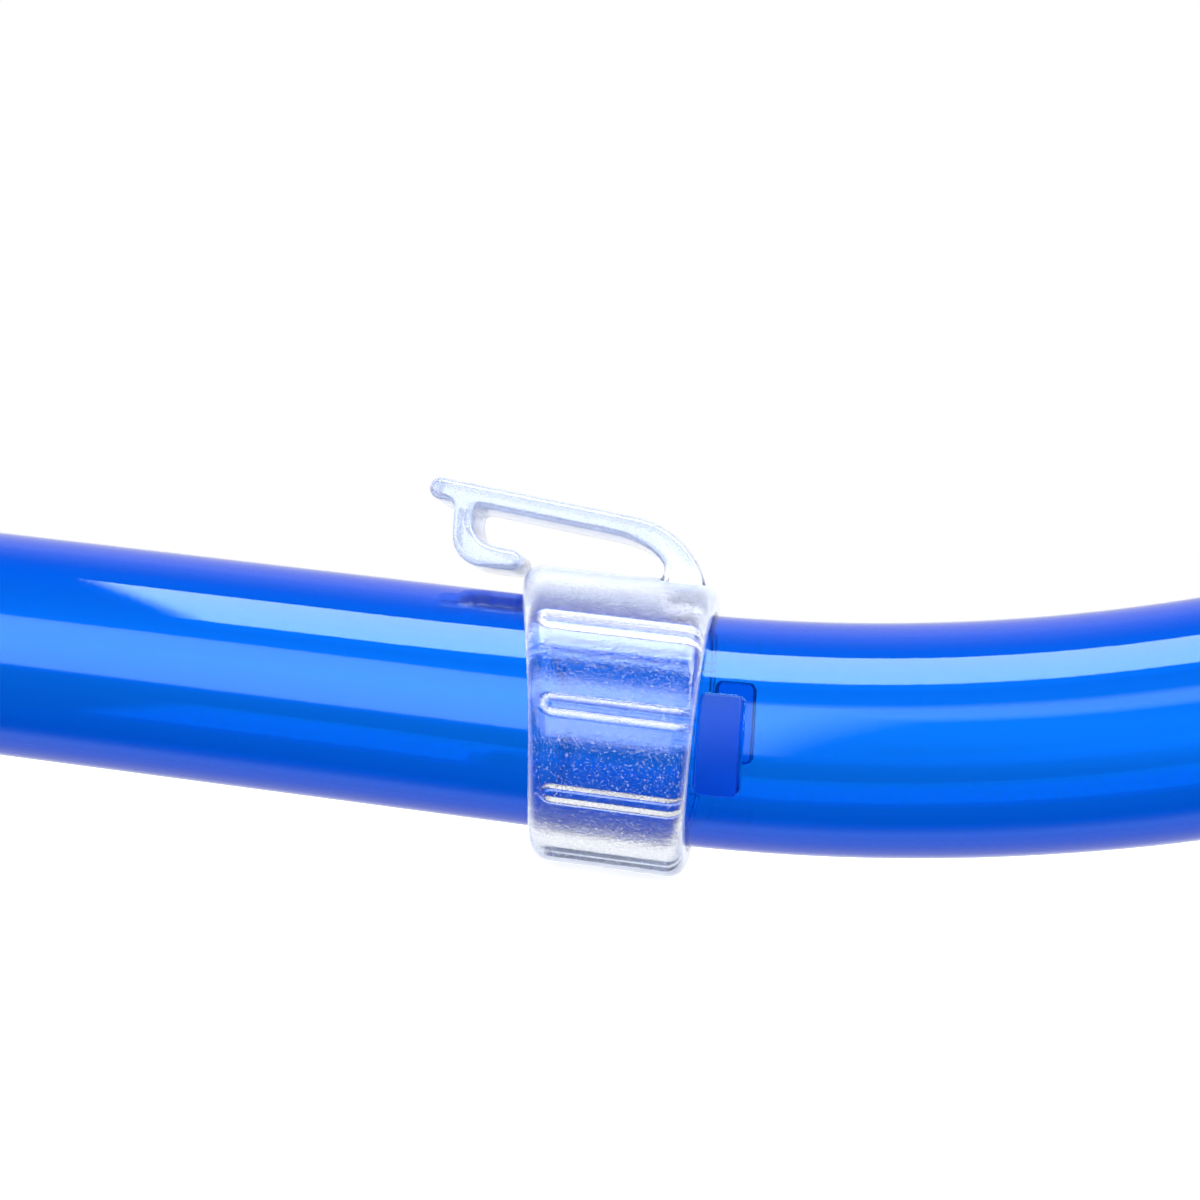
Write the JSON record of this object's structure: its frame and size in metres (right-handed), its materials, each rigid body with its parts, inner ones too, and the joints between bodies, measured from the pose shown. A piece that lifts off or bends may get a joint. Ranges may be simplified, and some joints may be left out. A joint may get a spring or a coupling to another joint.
{
  "type": "snorkel",
  "caption": "Snorkel with a contoured translucent barrel, a clear sliding mask-strap keeper, a splash guard, and a swivelling chamber with purge valve and mouthpiece.",
  "frame": {"origin": "middle of the keeper's strap slot, where the mask strap passes", "axes": "+X along the barrel's straight stretch, towards the mouthpiece; +Z away from the barrel's axis towards the hook, the inside of the bends; +Y across the barrel, along the strap's way through the slot (the slot itself is turned 4.5 degrees about X at rest)"},
  "size_m": [0.4035, 0.062, 0.1092],
  "materials": {
    "barrel": "glossy translucent blue tube",
    "keeper": "clear, lightly frosted",
    "band": "bright satin band",
    "guard": "satin dark blue",
    "baffle": "satin blue",
    "chamber": "glossy translucent blue",
    "lock_ring": "moulded",
    "seal": "smooth",
    "valve_seat": "moulded",
    "valve": "translucent silicone",
    "cover": "satin dark blue",
    "silicone": "frosted clear silicone",
    "clamp": "moulded"
  },
  "bodies": {
    "barrel": {"barrel": "barrel", "visibility_band": "band", "splash_guard_base": "guard", "splash_guard_baffle": "baffle", "splash_guard_hood": "guard", "swivel_lock_ring": "lock_ring"},
    "keeper": {"keeper_ring": "keeper"},
    "hook": {"keeper_hook": "keeper"},
    "chamber": {"lower_chamber": "chamber", "chamber_o_ring": "seal", "purge_valve_seat": "valve_seat", "purge_cover": "cover", "mouthpiece": "silicone", "mouthpiece_clamp": "clamp"},
    "purge_valve": {"purge_valve": "valve"}
  },
  "joints": [
    {"name": "keeper_slide", "type": "slide", "parent": "barrel", "child": "keeper", "axis": [1, 0, 0], "range_m": [-0.055, 0]},
    {"name": "hook_flex", "type": "hinge", "parent": "keeper", "child": "hook", "pos_m": [0.01287, 0.00002, 0.00029], "axis": [0, 0.9969, -0.0785], "range_deg": [0, 10], "stiffness_Nm_per_rad": 0.3},
    {"name": "chamber_swivel", "type": "hinge", "parent": "barrel", "child": "chamber", "pos_m": [0.12759, -0.00136, 0.01895], "axis": [0.866, 0, 0.5], "continuous": true},
    {"name": "purge_lift", "type": "slide", "parent": "chamber", "child": "purge_valve", "axis": [0.866, 0, 0.5], "range_m": [0, 0.0015], "stiffness_N_per_m": 60}
  ]
}
